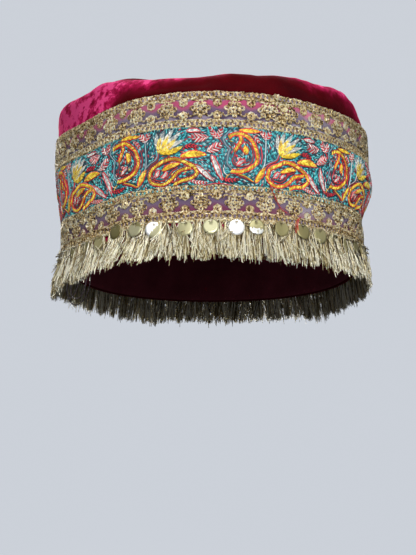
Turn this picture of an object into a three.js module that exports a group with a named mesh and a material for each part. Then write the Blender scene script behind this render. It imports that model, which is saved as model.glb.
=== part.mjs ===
// A soft round cap: a velvet side wall and crown, three trims sewn round the wall, a fringe of
// gold thread under the lowest trim, and a row of round sequins hung in front of the fringe.
// Millimetres, +Z up. The front of the cap faces -Y, and the origin is the middle of the head
// opening, level with the lower edge of the wall.

import * as THREE from "three";

// Driving dimensions.
const HALF_WIDTH = 86.7;
const HALF_DEPTH = 94.7;
const WALL_THICKNESS = 2;
const GAP = 0.3;
const TRIM_THICKNESS = 1;
const COLUMNS = 60;

// The velvet wall's outline at each height, as a share of the half width and half depth.
const WALL_PROFILE = [
  { height: 0, share: 0.957 },
  { height: 12, share: 0.9585 },
  { height: 25, share: 0.963 },
  { height: 35, share: 0.979 },
  { height: 45, share: 0.995 },
  { height: 53.35, share: 1 },
  { height: 63, share: 1 },
  { height: 72, share: 0.998 },
  { height: 76.5, share: 0.985 },
  { height: 80, share: 0.962 },
];

// Where each trim lies on the wall.
const TRIMS = [
  { name: "lower_gold_trim", bottom: 8, top: 24.8, colour: 0xb39a63 },
  { name: "embroidered_band", bottom: 25.1, top: 53.2, colour: 0x2f9ea3 },
  { name: "upper_gold_trim", bottom: 53.5, top: 72, colour: 0xb39a63 },
];

// Soft bulges (push above 0) and dents (below 0) of the wall. Angles run from the front, in
// degrees, positive to +X, and each spread is where the fold has died away to a third.
const WALL_FOLDS = [
  { angle: 84, height: 42, angleSpread: 20, heightSpread: 9, push: 2.6 },
  { angle: 82, height: 25, angleSpread: 22, heightSpread: 8, push: -1.2 },
  { angle: -88, height: 62, angleSpread: 22, heightSpread: 14, push: 1 },
  { angle: -86, height: 82, angleSpread: 28, heightSpread: 7, push: 4.2 },
  { angle: 104, height: 78, angleSpread: 18, heightSpread: 6, push: 2.2 },
  { angle: -52, height: 66, angleSpread: 22, heightSpread: 16, push: -1.6 },
  { angle: 40, height: 34, angleSpread: 14, heightSpread: 14, push: -1.1 },
  { angle: -125, height: 44, angleSpread: 20, heightSpread: 16, push: 1.4 },
  { angle: 140, height: 32, angleSpread: 22, heightSpread: 14, push: -1.3 },
];

// How far the whole wall sinks or lifts along its way round, as cloth hangs on a head.
const WALL_WAVES = [
  { angle: -52, spread: 19, lift: -3.4 },
  { angle: 84, spread: 24, lift: 3.2 },
  { angle: -100, spread: 20, lift: 1.6 },
  { angle: 180, spread: 45, lift: 1 },
];

// The soft upper edge rises and dips by itself, above the highest trim.
const SEAM_WAVES = [
  { angle: -76, spread: 15, lift: 6.2 },
  { angle: -46, spread: 14, lift: 4.8 },
  { angle: -12, spread: 16, lift: -2.2 },
  { angle: 32, spread: 10, lift: 1.8 },
  { angle: 58, spread: 12, lift: 4.6 },
  { angle: 110, spread: 22, lift: -1.8 },
  { angle: 150, spread: 14, lift: 2.6 },
  { angle: -135, spread: 18, lift: 3 },
];
const SEAM_WAVE_START = 73;

// The crown rises from the seam as a puffed dome, and its front lies slack on a flat slope.
const SEAM_HEIGHT = WALL_PROFILE.at(-1).height;
const SEAM_SHARE = WALL_PROFILE.at(-1).share;
const CROWN_RISE = 18;
const CROWN_FULLNESS = 4.6;
const SLACK_SLOPE = 0.31;
const SLACK_START = 0.8;
const SLACK_SOFTNESS = 2;
const CROWN_EDGE_HOLD = 6;
const CROWN_RINGS = [1, 0.96, 0.9, 0.82, 0.7, 0.55, 0.38, 0.2];

// Dimples and ridges pressed into the crown, by their place on it.
const CROWN_FOLDS = [
  { x: -64, y: -46, spread: 11, lift: -2.2 },
  { x: -50, y: -10, spread: 17, lift: 2 },
  { x: 62, y: -34, spread: 13, lift: -2.6 },
  { x: 74, y: -12, spread: 9, lift: 2.4 },
  { x: 12, y: -50, spread: 16, lift: 1.2 },
  { x: 18, y: 34, spread: 26, lift: -2.6 },
  { x: -34, y: 52, spread: 17, lift: 1.8 },
  { x: 50, y: 46, spread: 15, lift: 1.6 },
];

// The fringe: a braided heading with locks of thread that hang from it and flare outwards.
const HEADING_BOTTOM = 5.7;
const HEADING_TOP = 7.7;
const HEADING_THICKNESS = 1.2;
const FRINGE_LOCKS = 72;
const LOCK_LENGTH = 19;
const LOCK_ROOT_SHARE = 0.86;
const LOCK_FLARE = 2.8;
const LOCK_UNEVEN = { length: 0.09, flare: 0.3, lean: 0.9 };
const LOCK_LEVELS = [
  { down: 0.36, flare: 0.06, share: 0.84 },
  { down: 1, flare: 1, share: 0.62 },
];

// Where the fringe is longer, and stands further off, than elsewhere.
const FRINGE_TUFTS = [
  { angle: -76, spread: 8, longer: 5, flare: 1.2 },
  { angle: 130, spread: 8, longer: 3, flare: 0.8 },
  { angle: -150, spread: 9, longer: 2, flare: 0.5 },
];

// The sequins hang on one thread. A disc's corners are angles from its top, and the thread
// leaves it at two narrow facets beside the top.
const SEQUINS = 46;
const SEQUIN_RADIUS = 3.6;
const SEQUIN_THICKNESS = 0.5;
const SEQUIN_HEIGHT = 3.7;
const SEQUIN_CORNERS = [0, 38, 52, 90, 125, 160, 200, 235, 270, 308, 322];
const THREAD_RIGHT = [1, 2];
const THREAD_LEFT = [10, 9];

const radians = (degrees) => (degrees * Math.PI) / 180;
const bell = (distance, spread) => Math.exp(-((distance / spread) ** 2));

// The signed turn from one angle to another, in degrees.
function turnBetween(from, to) {
  return ((((to - from) % 360) + 540) % 360) - 180;
}

// A smooth curve through the rows of a table, by one of its columns.
function readTable(table, column, height) {
  const last = table.length - 1;
  let i = table.findIndex((row) => row.height >= height) - 1;
  if (height <= table[0].height) i = 0;
  if (i < 0) i = last - 1;
  const before = table[Math.max(i - 1, 0)];
  const [low, high] = [table[i], table[i + 1]];
  const after = table[Math.min(i + 2, last)];
  const span = high.height - low.height;
  const t = THREE.MathUtils.clamp((height - low.height) / span, 0, 1);
  const slopeLow = ((high[column] - before[column]) / (high.height - before.height)) * span;
  const slopeHigh = ((after[column] - low[column]) / (after.height - low.height)) * span;
  return (
    low[column] * (2 * t ** 3 - 3 * t ** 2 + 1) +
    slopeLow * (t ** 3 - 2 * t ** 2 + t) +
    high[column] * (3 * t ** 2 - 2 * t ** 3) +
    slopeHigh * (t ** 3 - t ** 2)
  );
}

// How far the wall is pushed out of its plain oval at an angle and height.
function wallPush(angle, height) {
  let push = 0;
  for (const fold of WALL_FOLDS) {
    const across = bell(turnBetween(fold.angle, angle), fold.angleSpread);
    push += fold.push * across * bell(height - fold.height, fold.heightSpread);
  }
  return push;
}

function liftFrom(waves, angle) {
  const near = (wave) => bell(turnBetween(wave.angle, angle), wave.spread);
  return waves.reduce((sum, wave) => sum + wave.lift * near(wave), 0);
}

// How far a point of the wall is lifted at an angle and height.
function wallLift(angle, height) {
  const nearSeam = THREE.MathUtils.smoothstep(height, SEAM_WAVE_START, SEAM_HEIGHT);
  return liftFrom(WALL_WAVES, angle) + nearSeam * liftFrom(SEAM_WAVES, angle);
}

// The point of the wall at an angle and height, moved out from the velvet's face by an offset.
function wallPoint(angle, height, offset) {
  const share = readTable(WALL_PROFILE, "share", height);
  const out = wallPush(angle, height) + offset;
  const turn = radians(angle);
  return new THREE.Vector3(
    (HALF_WIDTH * share + out) * Math.sin(turn),
    -(HALF_DEPTH * share + out) * Math.cos(turn),
    height + wallLift(angle, height),
  );
}

// The lower of two heights, with the crease between them rounded.
function softLower(a, b, softness) {
  return -softness * Math.log(Math.exp(-a / softness) + Math.exp(-b / softness));
}

// A point of the crown at a share of the way from its middle to the seam, below its upper face
// by a drop, once that face is lifted off the wall's top edge.
function crownPoint(angle, share, drop, lift) {
  const rim = wallPoint(angle, SEAM_HEIGHT, -drop);
  const [x, y] = [rim.x * share, rim.y * share];
  const dome = CROWN_RISE * (1 - share ** CROWN_FULLNESS);
  const slackAt = (depth) => SLACK_START + SLACK_SLOPE * Math.max(depth + HALF_DEPTH * SEAM_SHARE, 0);
  const seated = softLower(0, slackAt(rim.y), SLACK_SOFTNESS) * share ** CROWN_FULLNESS;
  const rise = softLower(dome, slackAt(y), SLACK_SOFTNESS) - seated;
  let folds = 0;
  for (const fold of CROWN_FOLDS) {
    folds += fold.lift * bell(Math.hypot(x - fold.x, y - fold.y), fold.spread);
  }
  const settled = 1 - share ** CROWN_EDGE_HOLD;
  const height = SEAM_HEIGHT + wallLift(angle, SEAM_HEIGHT) * share ** 2 + rise + folds * settled;
  return new THREE.Vector3(x, y, height + lift - drop);
}

// A body collected corner by corner, with faces of three or four sides.
function meshBuilder() {
  const positions = [];
  const indices = [];
  return {
    corner: (p) => positions.push(p.x, p.y, p.z) / 3 - 1,
    triangle: (a, b, c) => indices.push(a, b, c),
    quad: (a, b, c, d) => indices.push(a, b, c, a, c, d),
    geometry: () => {
      const geometry = new THREE.BufferGeometry();
      geometry.setAttribute("position", new THREE.Float32BufferAttribute(positions, 3));
      geometry.setIndex(indices);
      return geometry;
    },
  };
}

// What a function gives at the angle of each column round the cap.
function eachColumn(at) {
  return Array.from({ length: COLUMNS }, (_, i) => at((360 * i) / COLUMNS));
}

// The ends of a trim and the wall's own heights between them, so that both bend alike.
function trimHeights(bottom, top) {
  const between = WALL_PROFILE.map((row) => row.height).filter((h) => h > bottom + 1 && h < top - 1);
  return [bottom, ...between, top];
}

// A sleeve that follows the wall between two heights and two offsets from the velvet's face.
function sleeveGeometry(heights, inner, outer) {
  const body = meshBuilder();
  const columns = eachColumn((angle) => {
    const outside = [...heights].reverse().map((height) => wallPoint(angle, height, outer));
    const inside = heights.map((height) => wallPoint(angle, height, inner));
    return [...outside, ...inside].map(body.corner);
  });
  columns.forEach((here, i) => {
    const next = columns[(i + 1) % COLUMNS];
    here.forEach((corner, j) => {
      const below = (j + 1) % here.length;
      body.quad(corner, here[below], next[below], next[j]);
    });
  });
  return body.geometry();
}

function cloth(color, roughness) {
  return new THREE.MeshStandardMaterial({ color, roughness, metalness: 0 });
}

function goldThread(color, roughness) {
  return new THREE.MeshStandardMaterial({ color, roughness, metalness: 0.8 });
}

function sideWall() {
  const heights = WALL_PROFILE.map((row) => row.height);
  const geometry = sleeveGeometry(heights, -WALL_THICKNESS, 0);
  return named("velvet_side_wall", geometry, cloth(0x8c0f35, 0.85));
}

// The crown is a thin puffed lid, whose edge stands on the wall's top edge.
function crown() {
  const body = meshBuilder();
  const lastRing = CROWN_RINGS.length - 1;
  const addFace = (drop) => {
    const lift = GAP + WALL_THICKNESS;
    const at = (angle, share) => body.corner(crownPoint(angle, share, drop, lift));
    const rings = CROWN_RINGS.map((share) => eachColumn((angle) => at(angle, share)));
    return { rings, middle: at(0, 0) };
  };
  const top = addFace(0);
  const under = addFace(WALL_THICKNESS);
  for (let i = 0; i < COLUMNS; i++) {
    const next = (i + 1) % COLUMNS;
    for (let r = 0; r < lastRing; r++) {
      const [outer, inner] = [top.rings[r], top.rings[r + 1]];
      body.quad(outer[i], outer[next], inner[next], inner[i]);
      const [outerUnder, innerUnder] = [under.rings[r], under.rings[r + 1]];
      body.quad(innerUnder[i], innerUnder[next], outerUnder[next], outerUnder[i]);
    }
    body.triangle(top.rings[lastRing][i], top.rings[lastRing][next], top.middle);
    body.triangle(under.rings[lastRing][next], under.rings[lastRing][i], under.middle);
    body.quad(under.rings[0][i], under.rings[0][next], top.rings[0][next], top.rings[0][i]);
  }
  return named("velvet_crown", body.geometry(), cloth(0xa3123f, 0.85));
}

function trim({ name, bottom, top, colour }) {
  const geometry = sleeveGeometry(trimHeights(bottom, top), GAP, GAP + TRIM_THICKNESS);
  return named(name, geometry, cloth(colour, 0.6));
}

// The four corners of a lock at one level, from its outer left one, clockwise seen from above.
function lockCorners(angle, halfTurn, height, flare) {
  const outer = GAP + HEADING_THICKNESS + flare;
  const inner = GAP + flare;
  return [
    wallPoint(angle - halfTurn, height, outer),
    wallPoint(angle - halfTurn, height, inner),
    wallPoint(angle + halfTurn, height, inner),
    wallPoint(angle + halfTurn, height, outer),
  ];
}

function tuftAt(angle, column) {
  const near = (tuft) => bell(turnBetween(tuft.angle, angle), tuft.spread);
  return FRINGE_TUFTS.reduce((sum, tuft) => sum + tuft[column] * near(tuft), 0);
}

// The heading is a ring, and each lock grows out of its lower face.
function fringe() {
  const body = meshBuilder();
  const pitch = 360 / FRINGE_LOCKS;
  const roots = [];
  for (let i = 0; i < FRINGE_LOCKS; i++) {
    const angle = i * pitch;
    const halfTurn = (pitch / 2) * LOCK_ROOT_SHARE;
    const top = lockCorners(angle, halfTurn, HEADING_TOP, 0).map(body.corner);
    let above = lockCorners(angle, halfTurn, HEADING_BOTTOM, 0).map(body.corner);
    roots.push({ top, bottom: above });
    body.quad(top[2], above[2], above[1], top[1]);
    body.quad(top[0], above[0], above[3], top[3]);
    body.quad(top[3], top[2], top[1], top[0]);
    const length = LOCK_LENGTH * (1 + LOCK_UNEVEN.length * Math.sin(i * 2.4)) + tuftAt(angle, "longer");
    const spread = LOCK_FLARE * (1 + LOCK_UNEVEN.flare * Math.sin(i * 1.7)) + tuftAt(angle, "flare");
    for (const level of LOCK_LEVELS) {
      const lean = LOCK_UNEVEN.lean * level.down * Math.sin(i * 2.9);
      const height = HEADING_BOTTOM - level.down * length;
      const narrow = (pitch / 2) * level.share;
      const below = lockCorners(angle + lean, narrow, height, level.flare * spread).map(body.corner);
      for (let side = 0; side < 4; side++) {
        const next = (side + 1) % 4;
        body.quad(above[next], below[next], below[side], above[side]);
      }
      above = below;
    }
    body.quad(above[0], above[1], above[2], above[3]);
  }
  for (let i = 0; i < FRINGE_LOCKS; i++) {
    const [here, next] = [roots[i], roots[(i + 1) % FRINGE_LOCKS]];
    const [outerTop, innerTop] = [here.top[3], here.top[2]];
    const [outerBottom, innerBottom] = [here.bottom[3], here.bottom[2]];
    body.quad(outerTop, outerBottom, next.bottom[0], next.top[0]);
    body.quad(innerTop, next.top[1], next.bottom[1], innerBottom);
    body.quad(outerTop, next.top[0], next.top[1], innerTop);
    body.quad(outerBottom, innerBottom, next.bottom[1], next.bottom[0]);
  }
  return named("gold_thread_fringe", body.geometry(), goldThread(0xc9bb84, 0.4));
}

// One sequin's front or back corners, a flat disc that faces out of the wall.
function sequinCorners(angle, offset) {
  const turn = radians(angle);
  const along = new THREE.Vector3(Math.cos(turn), Math.sin(turn), 0);
  const centre = wallPoint(angle, SEQUIN_HEIGHT, offset);
  return SEQUIN_CORNERS.map((clock) => {
    const corner = centre.clone().addScaledVector(along, SEQUIN_RADIUS * Math.sin(radians(clock)));
    corner.z += SEQUIN_RADIUS * Math.cos(radians(clock));
    return corner;
  });
}

function sequinRow() {
  const body = meshBuilder();
  const back = 2 * GAP + HEADING_THICKNESS;
  const discs = [];
  for (let i = 0; i < SEQUINS; i++) {
    const angle = (360 * (i + 0.5)) / SEQUINS;
    const behind = sequinCorners(angle, back).map(body.corner);
    const front = sequinCorners(angle, back + SEQUIN_THICKNESS).map(body.corner);
    discs.push({ front, behind });
    for (let k = 1; k < SEQUIN_CORNERS.length - 1; k++) {
      body.triangle(front[0], front[k + 1], front[k]);
      body.triangle(behind[0], behind[k], behind[k + 1]);
    }
    for (let k = 0; k < SEQUIN_CORNERS.length; k++) {
      if (k === THREAD_RIGHT[0] || k === THREAD_LEFT[1]) continue;
      const next = (k + 1) % SEQUIN_CORNERS.length;
      body.quad(front[k], front[next], behind[next], behind[k]);
    }
  }
  for (let i = 0; i < SEQUINS; i++) {
    const [here, next] = [discs[i], discs[(i + 1) % SEQUINS]];
    const [high, low] = THREAD_RIGHT;
    const [nextHigh, nextLow] = THREAD_LEFT;
    body.quad(here.front[high], next.front[nextHigh], next.behind[nextHigh], here.behind[high]);
    body.quad(here.front[low], here.behind[low], next.behind[nextLow], next.front[nextLow]);
    body.quad(here.front[high], here.front[low], next.front[nextLow], next.front[nextHigh]);
    body.quad(here.behind[high], next.behind[nextHigh], next.behind[nextLow], here.behind[low]);
  }
  return named("sequin_row", body.geometry(), goldThread(0xc8c08c, 0.25));
}

function named(name, geometry, material) {
  geometry.computeVertexNormals();
  const mesh = new THREE.Mesh(geometry, material);
  mesh.name = name;
  return mesh;
}

const cap = new THREE.Group();
cap.add(sideWall(), crown(), ...TRIMS.map(trim), fringe(), sequinRow());

export default cap;
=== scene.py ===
# %% [markdown]
# # A kashmiri cap
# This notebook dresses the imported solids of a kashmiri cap: dark velvet with a soft crown, two gold
# embroidered ribbons, a band of coloured needlework between them, a thread fringe and a row of sequins.
# Lengths of the cloth are in millimetres until a form takes its place; finishes and lights are in metres.

# %% The frame
import math

import bmesh
import bpy
import numpy as np
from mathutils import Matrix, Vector, noise


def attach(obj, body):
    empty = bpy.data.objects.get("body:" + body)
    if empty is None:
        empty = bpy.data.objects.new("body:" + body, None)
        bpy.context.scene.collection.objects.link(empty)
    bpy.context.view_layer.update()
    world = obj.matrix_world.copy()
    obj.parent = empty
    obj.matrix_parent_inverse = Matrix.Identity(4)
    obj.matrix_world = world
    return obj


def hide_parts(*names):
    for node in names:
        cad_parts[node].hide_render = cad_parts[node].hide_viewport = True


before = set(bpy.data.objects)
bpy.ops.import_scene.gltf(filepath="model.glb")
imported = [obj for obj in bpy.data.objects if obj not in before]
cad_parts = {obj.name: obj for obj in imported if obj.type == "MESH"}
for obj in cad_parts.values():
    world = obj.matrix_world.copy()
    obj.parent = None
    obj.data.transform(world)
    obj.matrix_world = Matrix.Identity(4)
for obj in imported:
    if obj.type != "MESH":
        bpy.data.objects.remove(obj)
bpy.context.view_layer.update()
print("solids:", sorted(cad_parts))

# %% [markdown]
# The finishes are matched to cloth in daylight, so the picture is developed plainly, without a film
# curve that would grey the bright threads.

# %% Development
bpy.context.scene.view_settings.view_transform = "Standard"
bpy.context.scene.view_settings.look = "None"

# %% [markdown]
# ## The camera first
# The cap is seen from a little below its rim, about 65 cm away, through a short telephoto lens. The
# camera is set before any piece, so that every later choice of thread thickness can be judged in it.

# %% Camera
CAMERA_PLACE = (2.8, -653.7, -139.6)
CAMERA_TILT = 11.88
CAMERA_TURN = 0.46
CAMERA_LENS = 77.2

camera_data = bpy.data.cameras.new("camera")
camera_data.lens = CAMERA_LENS
camera_data.sensor_width = 36
camera_data.clip_end = 50
camera = bpy.data.objects.new("camera", camera_data)
camera.location = Vector(CAMERA_PLACE) / 1000
camera.rotation_euler = (math.radians(90 + CAMERA_TILT), 0, math.radians(CAMERA_TURN))
bpy.context.scene.collection.objects.link(camera)
bpy.context.scene.camera = camera
print("camera", CAMERA_LENS, "mm")

# %% [markdown]
# ## The wall as a function
# All trims lie on the same velvet wall. If a ribbon is modelled flat, as it was woven, and then bent
# on to the wall by one function, its pattern keeps its true size and it follows every dent in the
# velvet. So the wall is written once as a function of an angle, a height and a distance outwards.

# %% The wall
HALF_WIDTH = 86.7
HALF_DEPTH = 94.7
WALL_THICKNESS = 2
WALL_TOP = 80
# height, share of the full width and depth
WALL_PROFILE = [
    (0, 0.957), (12, 0.9585), (25, 0.963), (35, 0.979), (45, 0.995),
    (53.35, 1), (63, 1), (72, 0.998), (76.5, 0.985), (80, 0.962),
]
# angle, height, spread of the angle, spread of the height, push outwards
WALL_FOLDS = [
    (84, 42, 20, 9, 2.6), (82, 25, 22, 8, -1.2), (-88, 62, 22, 14, 1), (-86, 82, 28, 7, 4.2),
    (104, 78, 18, 6, 2.2), (-52, 66, 22, 16, -1.6), (40, 34, 14, 14, -1.1), (-125, 44, 20, 16, 1.4),
    (140, 32, 22, 14, -1.3),
]
# angle, spread, lift of the whole wall, and then lift of its top edge alone
WALL_WAVES = [(-52, 19, -3.4), (84, 24, 3.2), (-100, 20, 1.6), (180, 45, 1)]
SEAM_WAVES = [
    (-76, 15, 6.2), (-46, 14, 4.8), (-12, 16, -2.2), (32, 10, 1.8), (58, 12, 4.6), (110, 22, -1.8),
    (150, 14, 2.6), (-135, 18, 3), (-60, 9, 2.2), (-84, 7, -2.4), (-47, 7, 1.9),
]
SEAM_WAVE_START = 73


def turn(a, b):
    return (b - a + 540) % 360 - 180


def bell(distance, spread):
    return np.exp(-(distance / spread) ** 2)


def wall_share(height):
    """The share of the full width at a height, read off a smooth curve through the profile."""
    heights, shares = np.array(WALL_PROFILE, float).T
    low = np.clip(np.searchsorted(heights, height, side="left") - 1, 0, len(heights) - 2)
    before = np.maximum(low - 1, 0)
    after = np.minimum(low + 2, len(heights) - 1)
    span = heights[low + 1] - heights[low]
    t = np.clip((height - heights[low]) / span, 0, 1)
    slope_low = (shares[low + 1] - shares[before]) / (heights[low + 1] - heights[before]) * span
    slope_high = (shares[after] - shares[low]) / (heights[after] - heights[low]) * span
    return (
        shares[low] * (2 * t**3 - 3 * t**2 + 1)
        + slope_low * (t**3 - 2 * t**2 + t)
        + shares[low + 1] * (3 * t**2 - 2 * t**3)
        + slope_high * (t**3 - t**2)
    )


def wall_lift(angle, height):
    lift = sum(rise * bell(turn(a, angle), spread) for a, spread, rise in WALL_WAVES)
    k = np.clip((height - SEAM_WAVE_START) / (WALL_TOP - SEAM_WAVE_START), 0, 1)
    seam = sum(rise * bell(turn(a, angle), spread) for a, spread, rise in SEAM_WAVES)
    return lift + k * k * (3 - 2 * k) * seam


def wall(angle, height, out):
    """Places on the wall, where angle 0 is the front and out is the distance from the velvet's face."""
    push = sum(

        depth * bell(turn(a, angle), spread) * bell(height - h, tall)
        for a, h, spread, tall, depth in WALL_FOLDS
    )
    share = wall_share(height)
    t = np.radians(angle)
    x = (HALF_WIDTH * share + push + out) * np.sin(t)
    y = -(HALF_DEPTH * share + push + out) * np.cos(t)
    return np.stack([x, y, height + wall_lift(angle, height)], -1)

# %% [markdown]
# ## From flat cloth to the wall
# A tape measure laid round the cap at its widest gives 570 mm. The tables below say which angle lies
# at each length along that tape, with zero at the front, so a flat ribbon wraps with even repeats.

# %% The tape measure
TAPE_STEPS = 3600
tape_angles = np.linspace(-180, 180, TAPE_STEPS + 1)
tape_steps = np.hypot(
    HALF_WIDTH * np.cos(np.radians(tape_angles)), HALF_DEPTH * np.sin(np.radians(tape_angles))
)
tape_lengths = np.concatenate(
    [[0], np.cumsum((tape_steps[1:] + tape_steps[:-1]) / 2 * math.tau / TAPE_STEPS)]
)
ROUND = tape_lengths[-1]
tape_lengths -= ROUND / 2
print("round the cap:", round(ROUND, 1), "mm")


def wrap(mesh):
    """Bends a mesh modelled flat, along x, up y and out z in millimetres, on to the wall."""
    flat = np.zeros(len(mesh.vertices) * 3)
    mesh.vertices.foreach_get("co", flat)
    flat = flat.reshape(-1, 3)
    along = (flat[:, 0] + ROUND / 2) % ROUND - ROUND / 2
    angle = np.interp(along, tape_lengths, tape_angles)
    mesh.vertices.foreach_set("co", (wall(angle, flat[:, 1], flat[:, 2]) / 1000).ravel())
    mesh.update()
    return mesh

# %% [markdown]
# ## Nodes and colours
# Every finish below is a small tree of nodes. One function adds a node with its settings and links,
# and one turns the familiar sRGB hex colours into the linear values that the renderer works in.

# %% Node helpers
def linear(code):
    channels = [int(code[i:i + 2], 16) / 255 for i in (1, 3, 5)]
    return [c / 12.92 if c <= 0.04045 else ((c + 0.055) / 1.055) ** 2.4 for c in channels] + [1]


def add_node(tree, kind, settings=None, **links):
    """Adds a node. Settings are its properties, and links are its sockets by number or by name."""
    node = tree.nodes.new(kind)
    for key, value in (settings or {}).items():
        setattr(node, key, value)
    for key, value in links.items():
        name = key.replace("_", " ")
        socket = node.inputs[int(key[1:])] if key[1:].isdigit() else node.inputs[name]
        if isinstance(value, bpy.types.NodeSocket):
            tree.links.new(value, socket)
        else:
            socket.default_value = value
    return node


def new_material(name, **surface):
    material = bpy.data.materials.new(name)
    material.use_nodes = True
    shader = material.node_tree.nodes["Principled BSDF"]
    for key, value in surface.items():
        shader.inputs[key.replace("_", " ")].default_value = value
    return material, material.node_tree, shader


def object_place(tree):
    return add_node(tree, "ShaderNodeTexCoord").outputs["Object"]


def own_tone(tree):
    """A value from 0 to 1 that each separate thread or stitch has for itself."""
    return add_node(tree, "ShaderNodeNewGeometry").outputs["Random Per Island"]


def noise_value(tree, where, scale, detail=2.0, roughness=0.5):
    node = add_node(
        tree, "ShaderNodeTexNoise", Vector=where, Scale=scale, Detail=detail, Roughness=roughness
    )
    return node.outputs["Fac"]


def scaled(tree, value, times, plus):
    return add_node(
        tree, "ShaderNodeMath", {"operation": "MULTIPLY_ADD"}, i0=value, i1=times, i2=plus
    ).outputs[0]


def paint(tree, shader, factor, *stops):
    """Colours the finish by a ramp over the factor."""
    node = add_node(tree, "ShaderNodeValToRGB", Fac=factor)
    elements = node.color_ramp.elements
    while len(elements) < len(stops):
        elements.new(0.5)
    for element, (place, code) in zip(elements, stops):
        element.position = place
        element.color = linear(code)
    tree.links.new(node.outputs["Color"], shader.inputs["Base Color"])


def bump(tree, shader, height, distance, strength=1.0):
    """Adds a relief to the finish, over any that it has."""
    node = add_node(tree, "ShaderNodeBump", Height=height, Distance=distance, Strength=strength)
    for link in shader.inputs["Normal"].links:
        tree.links.new(link.from_socket, node.inputs["Normal"])
    tree.links.new(node.outputs["Normal"], shader.inputs["Normal"])

# %% [markdown]
# ## Velvet
# Cotton-backed silk velvet is a short, dense pile. Seen face on, the light sinks between the hairs
# and the cloth is nearly black; seen edge on, the hair tips catch the light in a bright pink. The
# sheen of the Principled shader does that, and noise stands for the pile that was brushed this way
# and that by handling. A painted sheen adds to it: a value set on the cloth's points below paints
# the colour from dark maroon up to bright pink where the light catches the pile.

# %% Velvet finish
velvet, tree, shader = new_material(
    "silk velvet, cut pile", Roughness=0.9, Sheen_Weight=0.4, Sheen_Roughness=0.25,
    Sheen_Tint=linear("#FF1C6C"), Specular_IOR_Level=0.05,
)
where = object_place(tree)
painted_sheen = add_node(tree, "ShaderNodeAttribute", {"attribute_name": "painted_sheen"}).outputs["Fac"]
brushed = noise_value(tree, where, 42, 3, 0.6)
mottle = scaled(tree, noise_value(tree, where, 170, 4, 0.65), 3.2, -1.66)
# painted sheen: the value on the cloth's points, broken up by crushed mottling, paints the colour from dark
# maroon up to bright pink
raised = scaled(tree, painted_sheen, mottle, painted_sheen)
paint(
    tree, shader, scaled(tree, brushed, 0.16, raised), (0.03, "#2C0206"), (0.12, "#480309"),
    (0.4, "#6A0820"), (0.7, "#A21744"), (0.92, "#CC2C64"), (1.0, "#E84A88"),
)
bump(tree, shader, brushed, 0.0016, 0.7)
bump(tree, shader, noise_value(tree, where, 900, 2, 0.7), 0.0004, 0.6)

# %% [markdown]
# Inside, such a cap is lined with plain cotton, which is matt and a little paler than the velvet.

# %% Lining finish
lining, tree, shader = new_material("plain cotton lining, woven", Roughness=0.95)
where = object_place(tree)
paint(tree, shader, noise_value(tree, where, 60, 4), (0.3, "#6A1E2E"), (0.7, "#8A3342"))
bump(tree, shader, noise_value(tree, where, 1400, 2), 0.0003)

# %% [markdown]
# ## Making a piece
# A finished mesh becomes a piece: it gets its materials, shades smooth, rides on the cap's one body
# and hides the solids that it stands for.

# %% Piece helper
# points closer than this, in metres, become one
WELD = 0.00002


def to_mesh(bm, name):
    mesh = bpy.data.meshes.new(name)
    bm.to_mesh(mesh)
    bm.free()
    return mesh


def add_object(name, data):
    made = bpy.data.objects.new(name, data)
    bpy.context.scene.collection.objects.link(made)
    return made


def piece(name, mesh, materials, replaced=()):
    mesh.name = name
    for material in materials:
        mesh.materials.append(material)
    mesh.polygons.foreach_set("use_smooth", [True] * len(mesh.polygons))
    made = add_object(name, mesh)
    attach(made, "root")
    if replaced:
        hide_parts(*replaced)
    mesh.calc_loop_triangles()
    print(f"{name}: {len(mesh.loop_triangles)} triangles")
    return made

# %% [markdown]
# ## The crown as a function
# The crown is a round of the same velvet, sewn to the top of the wall and slack enough to sag
# towards the back, so it rises in a low dome with broad soft folds. It is written as a function of
# an angle, a share of the way out and a depth below its top face.

# %% Crown function
CROWN_RISE = 18
CROWN_FULLNESS = 4.6
CROWN_GAP = 2.3
# from the wall's front edge the crown rises no steeper than this slope
SLACK_SLOPE = 0.31
SLACK_START = 0.8
SLACK_SOFTNESS = 2
# place, spread, lift
CROWN_FOLDS = [
    (-64, -46, 11, -2.2), (-50, -10, 17, 2), (62, -34, 13, -2.6), (74, -12, 9, 2.4),
    (12, -50, 16, 1.2), (18, 34, 26, -2.6), (-34, 52, 17, 1.8), (50, 46, 15, 1.6),
]
FOLD_HOLD = 6


def soft_lower(a, b, k):
    return -k * np.log(np.exp(-a / k) + np.exp(-b / k))


def slack_at(y):
    return SLACK_START + SLACK_SLOPE * np.maximum(y + HALF_DEPTH * wall_share(WALL_TOP), 0)


def crown(angle, share, drop):
    rim = wall(angle, np.full_like(angle, WALL_TOP), -drop)
    x = rim[:, 0] * share
    y = rim[:, 1] * share
    dome = CROWN_RISE * (1 - share**CROWN_FULLNESS)
    seated = soft_lower(0, slack_at(rim[:, 1]), SLACK_SOFTNESS) * share**CROWN_FULLNESS
    rise = soft_lower(dome, slack_at(y), SLACK_SOFTNESS) - seated
    folds = sum(lift * bell(np.hypot(x - fx, y - fy), spread) for fx, fy, spread, lift in CROWN_FOLDS)
    z = WALL_TOP + wall_lift(angle, WALL_TOP) * share**2 + rise + folds * (1 - share**FOLD_HOLD)
    return np.stack([x, y, z + CROWN_GAP - drop], -1)

# %% [markdown]
# ## The velvet wall
# The wall is a band of velvet sewn to a ring, turned up in a narrow hem at the rim. At the top it rolls
# over the crown's edge and is caught down a few millimetres in, so no seam shows from the front. A grid
# is bent along a closed outline: up the outer face, over the roll along a smooth curve, back under it,
# down the lined inner face and round the hem.

# %% Outline of the wall's cloth
WALL_COLUMNS = 360
RIM = 0.7
SIDE_TOP = 77.0
SIDE_ROWS = 46
ROLL_HEIGHT = 84.0
ROLL_ROWS = 12
INNER_ROWS = 26
# where the roll is caught down, as a share of the way out on the crown, and how thick it is there
TURN_SHARE = 0.955
TURN_THICK = 0.45
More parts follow.
